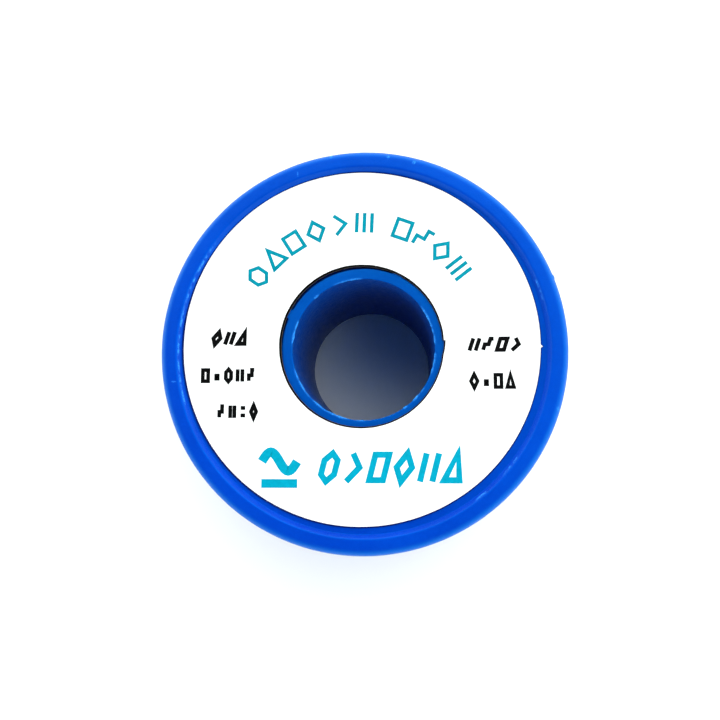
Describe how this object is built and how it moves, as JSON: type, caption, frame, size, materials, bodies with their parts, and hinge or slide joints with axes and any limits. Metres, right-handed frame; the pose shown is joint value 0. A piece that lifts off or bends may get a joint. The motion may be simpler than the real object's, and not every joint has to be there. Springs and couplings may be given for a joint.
{
  "type": "solder wire spool",
  "caption": "Small round plastic spool with a through bore and paper face labels, wound with fine flux-cored solder wire whose free end is taped down.",
  "frame": {"origin": "centre of the plane that the rear flange's rim rests on, on the bore's axis", "axes": "+Z along the spool's axis towards the labelled front face, +Y the upright of the front label's print"},
  "size_m": [0.057, 0.057, 0.03],
  "materials": {
    "spool_plastic": "semi-gloss moulded",
    "label_paper": "smooth printed",
    "solder": "bright drawn tin-lead wire",
    "flux": "clear amber rosin",
    "clear_tape": "clear film"
  },
  "bodies": {
    "root": {"barrel": "spool_plastic", "front_flange": "spool_plastic", "rear_flange": "spool_plastic", "front_label": "label_paper", "rear_label": "label_paper", "solder_winding": "solder", "wire_tail": "solder", "flux_core": "flux", "end_tape": "clear_tape"}
  },
  "joints": []
}
